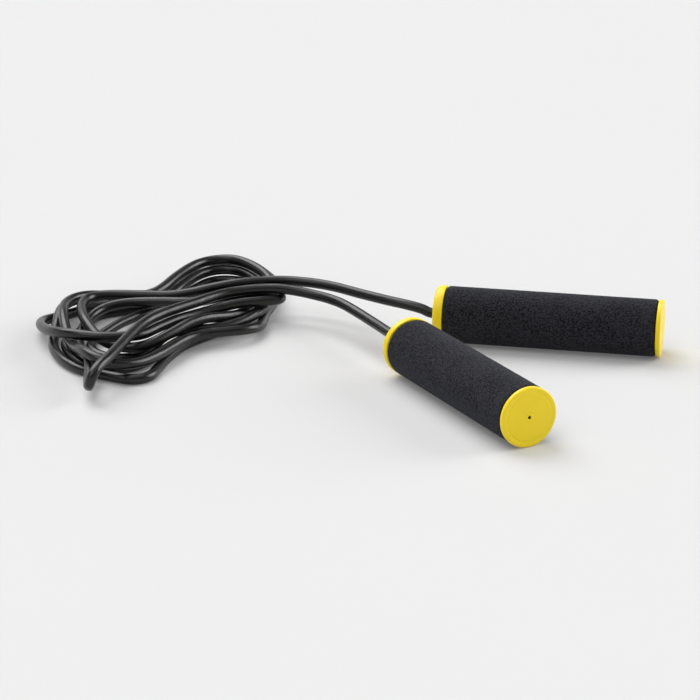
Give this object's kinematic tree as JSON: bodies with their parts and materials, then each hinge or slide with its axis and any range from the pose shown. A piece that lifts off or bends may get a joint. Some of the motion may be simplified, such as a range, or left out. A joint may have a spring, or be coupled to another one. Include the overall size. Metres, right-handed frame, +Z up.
{
  "type": "jump rope",
  "caption": "Jump rope with a round plastic cord in a loose coil and foam-covered handles that turn on ball bearings, with bright end caps and collars.",
  "frame": {"origin": "on the surface the rope lies on, under the middle of its bounding box", "axes": "+Z up; +X towards the handles, along the longest side of the bounding box; +Y away from the viewer's side, where the near handle is at -Y"},
  "size_m": [0.3987, 0.3509, 0.036],
  "materials": {
    "cord_plastic": "glossy black PVC cord",
    "foam": "matt fine-celled black foam",
    "core_plastic": "plain moulded dark plastic",
    "yellow_plastic": "satin moulded yellow plastic",
    "bearing_steel": "ground and polished bearing steel",
    "cage_plastic": "natural nylon",
    "bush_plastic": "smooth black moulded plastic",
    "sleeve_metal": "plain crimped aluminium"
  },
  "bodies": {
    "cord_assembly": {"cord": "cord_plastic", "near_inner_race": "bearing_steel", "near_cord_bush": "bush_plastic", "near_washer": "bearing_steel", "near_stop_sleeve": "sleeve_metal", "far_inner_race": "bearing_steel", "far_cord_bush": "bush_plastic", "far_washer": "bearing_steel", "far_stop_sleeve": "sleeve_metal"},
    "near_handle": {"near_foam_grip": "foam", "near_core_tube": "core_plastic", "near_front_collar": "yellow_plastic", "near_outer_race": "bearing_steel"},
    "near_balls": {"near_ball_cage": "cage_plastic", "near_ball_1": "bearing_steel", "near_ball_2": "bearing_steel", "near_ball_3": "bearing_steel", "near_ball_4": "bearing_steel", "near_ball_5": "bearing_steel", "near_ball_6": "bearing_steel", "near_ball_7": "bearing_steel", "near_ball_8": "bearing_steel", "near_ball_9": "bearing_steel"},
    "near_cap": {"near_end_cap": "yellow_plastic"},
    "far_handle": {"far_foam_grip": "foam", "far_core_tube": "core_plastic", "far_front_collar": "yellow_plastic", "far_outer_race": "bearing_steel"},
    "far_balls": {"far_ball_cage": "cage_plastic", "far_ball_1": "bearing_steel", "far_ball_2": "bearing_steel", "far_ball_3": "bearing_steel", "far_ball_4": "bearing_steel", "far_ball_5": "bearing_steel", "far_ball_6": "bearing_steel", "far_ball_7": "bearing_steel", "far_ball_8": "bearing_steel", "far_ball_9": "bearing_steel"},
    "far_cap": {"far_end_cap": "yellow_plastic"}
  },
  "joints": [
    {"name": "near_handle_spin", "type": "hinge", "parent": "cord_assembly", "child": "near_handle", "pos_m": [0.0368, -0.0409, 0.018], "axis": [-0.4633, 0.8862, 0], "continuous": true},
    {"name": "near_ball_orbit", "type": "hinge", "parent": "cord_assembly", "child": "near_balls", "pos_m": [0.0368, -0.0409, 0.018], "axis": [-0.4633, 0.8862, 0], "continuous": true},
    {"name": "near_cap_pull", "type": "slide", "parent": "near_handle", "child": "near_cap", "axis": [0.4633, -0.8862, 0], "range_m": [0, 0.024]},
    {"name": "far_handle_spin", "type": "hinge", "parent": "cord_assembly", "child": "far_handle", "pos_m": [0.0566, 0.0192, 0.018], "axis": [-0.9774, 0.2113, 0], "continuous": true},
    {"name": "far_ball_orbit", "type": "hinge", "parent": "cord_assembly", "child": "far_balls", "pos_m": [0.0566, 0.0192, 0.018], "axis": [-0.9774, 0.2113, 0], "continuous": true},
    {"name": "far_cap_pull", "type": "slide", "parent": "far_handle", "child": "far_cap", "axis": [0.9774, -0.2113, 0], "range_m": [0, 0.024]}
  ],
  "couplings": [
    {"joint": "near_ball_orbit", "follows": "near_handle_spin", "ratio": 0.5821},
    {"joint": "far_ball_orbit", "follows": "far_handle_spin", "ratio": 0.5821}
  ]
}
